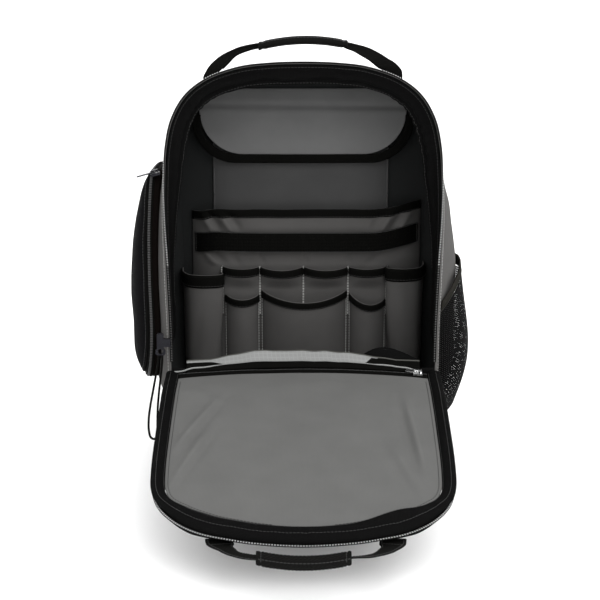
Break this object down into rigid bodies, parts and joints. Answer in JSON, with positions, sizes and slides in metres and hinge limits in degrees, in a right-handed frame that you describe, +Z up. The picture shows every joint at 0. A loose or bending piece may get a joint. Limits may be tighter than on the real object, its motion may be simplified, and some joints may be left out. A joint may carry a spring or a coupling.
{
  "type": "tool backpack",
  "caption": "Soft upright backpack standing open, its front flap folded down to the floor, with organiser pockets on the rear wall and a pocket on each side.",
  "frame": {"origin": "middle of the base's underside, on the floor", "axes": "+X to the viewer's right, -Y to the open front, +Z up"},
  "size_m": [0.4451, 0.6501, 0.5072],
  "materials": {
    "grey_fabric": "coated polyester weave, matt",
    "pocket_fabric": "coated polyester weave, matt",
    "panel_fabric": "coated polyester weave, matt",
    "black_fabric": "ballistic polyester weave, matt",
    "silver_fabric": "ripstop lining, slight sheen",
    "zip_tape": "woven zip tape with moulded teeth",
    "binding": "woven tape, matt",
    "elastic": "ribbed woven elastic",
    "net": "open knitted net",
    "webbing": "woven webbing, slight sheen",
    "strap_fabric": "padded woven cloth, matt",
    "silver_metal": "polished plate",
    "dark_metal": "dark plated, glossy",
    "cord": "braided cord",
    "black_plastic": "moulded, fine texture"
  },
  "bodies": {
    "root": {"side_wall_left": "grey_fabric", "side_wall_right": "grey_fabric", "top_wall": "grey_fabric", "flap_outer_panel": "grey_fabric", "back_panel": "pocket_fabric", "sleeve_panel": "pocket_fabric", "document_flap_cover": "pocket_fabric", "wide_pocket": "pocket_fabric", "upper_pocket_1": "pocket_fabric", "upper_pocket_2": "pocket_fabric", "upper_pocket_3": "pocket_fabric", "upper_pocket_4": "pocket_fabric", "lower_pocket_1": "pocket_fabric", "lower_pocket_2": "pocket_fabric", "lower_pocket_3": "pocket_fabric", "wall_pocket_left": "pocket_fabric", "wall_pocket_right": "pocket_fabric", "flap_pocket_panel": "panel_fabric", "base_panel": "black_fabric", "front_lip": "black_fabric", "rim_facing": "black_fabric", "flap_border": "black_fabric", "hinge_fold": "black_fabric", "left_pocket_shell": "black_fabric", "hinge_lining": "silver_fabric", "main_zip_body_half": "zip_tape", "main_zip_flap_half": "zip_tape", "flap_pocket_zip": "zip_tape", "left_pocket_zip": "zip_tape", "document_flap_binding": "binding", "wide_pocket_binding": "binding", "upper_pocket_binding": "binding", "lower_binding_1": "binding", "lower_binding_2": "binding", "lower_binding_3": "binding", "wall_pocket_band_left": "binding", "wall_pocket_band_right": "binding", "net_pocket_hem": "binding", "elastic_band": "elastic", "net_pocket_panel": "net", "top_handle_webbing_left": "webbing", "top_handle_webbing_right": "webbing", "front_handle_webbing_left": "webbing", "front_handle_webbing_right": "webbing", "top_handle_grip": "webbing", "front_handle_grip": "webbing", "strap_webbing_left": "webbing", "strap_webbing_right": "webbing", "shoulder_strap_left": "strap_fabric", "shoulder_strap_right": "strap_fabric", "flap_pocket_slider": "silver_metal", "left_pocket_slider": "dark_metal", "main_slider": "dark_metal", "pull_cord": "cord", "strap_buckle_left": "black_plastic", "strap_buckle_right": "black_plastic"},
    "flap_pull": {"flap_pocket_pull": "silver_metal"},
    "left_pull": {"left_pocket_pull": "dark_metal"}
  },
  "joints": [
    {"name": "flap_pull_hinge", "type": "hinge", "parent": "root", "child": "flap_pull", "pos_m": [0.14691, -0.09785, 0.0911], "axis": [0, 0.9757, 0.2191], "range_deg": [0, 150]},
    {"name": "left_pull_hinge", "type": "hinge", "parent": "root", "child": "left_pull", "pos_m": [-0.19, -0.027, 0.3362], "axis": [0, 1, 0], "range_deg": [0, 115]}
  ]
}
